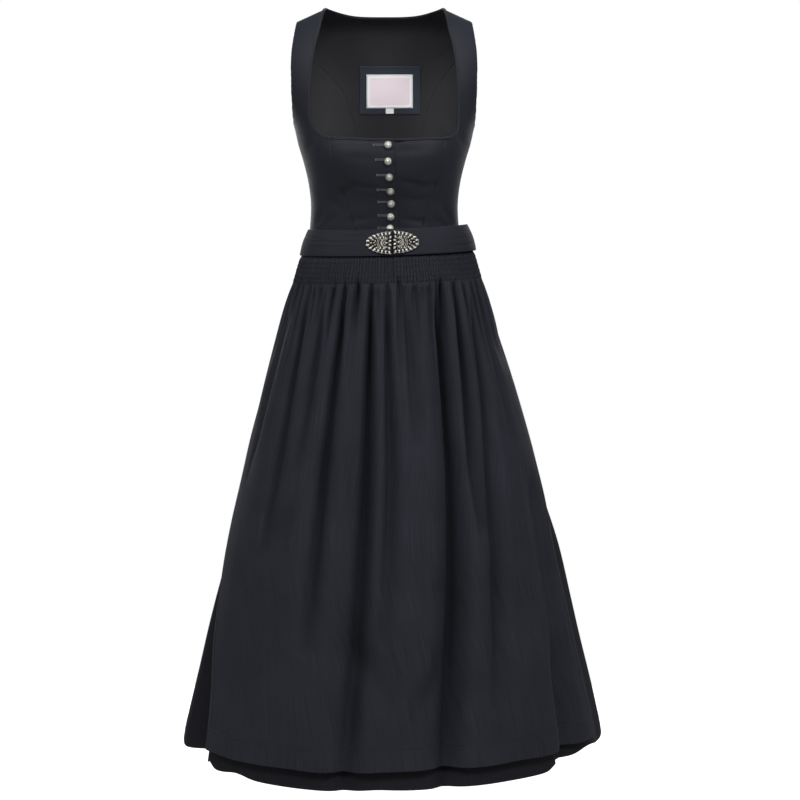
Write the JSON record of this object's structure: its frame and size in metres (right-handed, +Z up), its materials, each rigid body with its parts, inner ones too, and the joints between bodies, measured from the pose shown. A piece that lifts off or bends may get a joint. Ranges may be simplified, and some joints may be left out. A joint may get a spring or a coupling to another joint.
{
  "type": "dirndl",
  "caption": "Long sleeveless dirndl with a square front neckline, buttoned bodice, gathered skirt, and a smocked apron on a waistband closed by a filigree clasp.",
  "frame": {"origin": "between the shoulders, at the height where the straps rest on the wearer's shoulders", "axes": "+Z up along the body, -Y the front of the dress, +X the wearer's left"},
  "size_m": [0.7182, 0.6465, 1.2486],
  "materials": {
    "bodice_cloth": "navy wool blend with a faint sheen",
    "binding_cloth": "narrow edge strip with two light lines of stitching",
    "skirt_cloth": "near-black matt plain weave",
    "apron_cloth": "charcoal slub weave with fine upright streaks",
    "silver": "antique silver, dark in the hollows",
    "label_cloth": "pale pink woven label, bare",
    "tab_cloth": "white woven tab, bare"
  },
  "bodies": {
    "root": {"front_right": "bodice_cloth", "front_left": "bodice_cloth", "side_front_right": "bodice_cloth", "side_front_left": "bodice_cloth", "side_back_right": "bodice_cloth", "side_back_left": "bodice_cloth", "back_centre": "bodice_cloth", "neck_binding_right": "binding_cloth", "neck_binding_left": "binding_cloth", "neck_binding_back": "binding_cloth", "button_1": "silver", "button_2": "silver", "button_3": "silver", "button_4": "silver", "button_5": "silver", "button_6": "silver", "button_7": "silver", "label_patch": "bodice_cloth", "label": "label_cloth", "size_tab": "tab_cloth", "skirt_front": "skirt_cloth", "skirt_back": "skirt_cloth", "apron_smocking_right": "apron_cloth", "apron_smocking_left": "apron_cloth", "apron": "apron_cloth", "waistband_right": "apron_cloth", "waistband_left": "apron_cloth", "clasp_right": "silver", "clasp_left": "silver"}
  },
  "joints": []
}
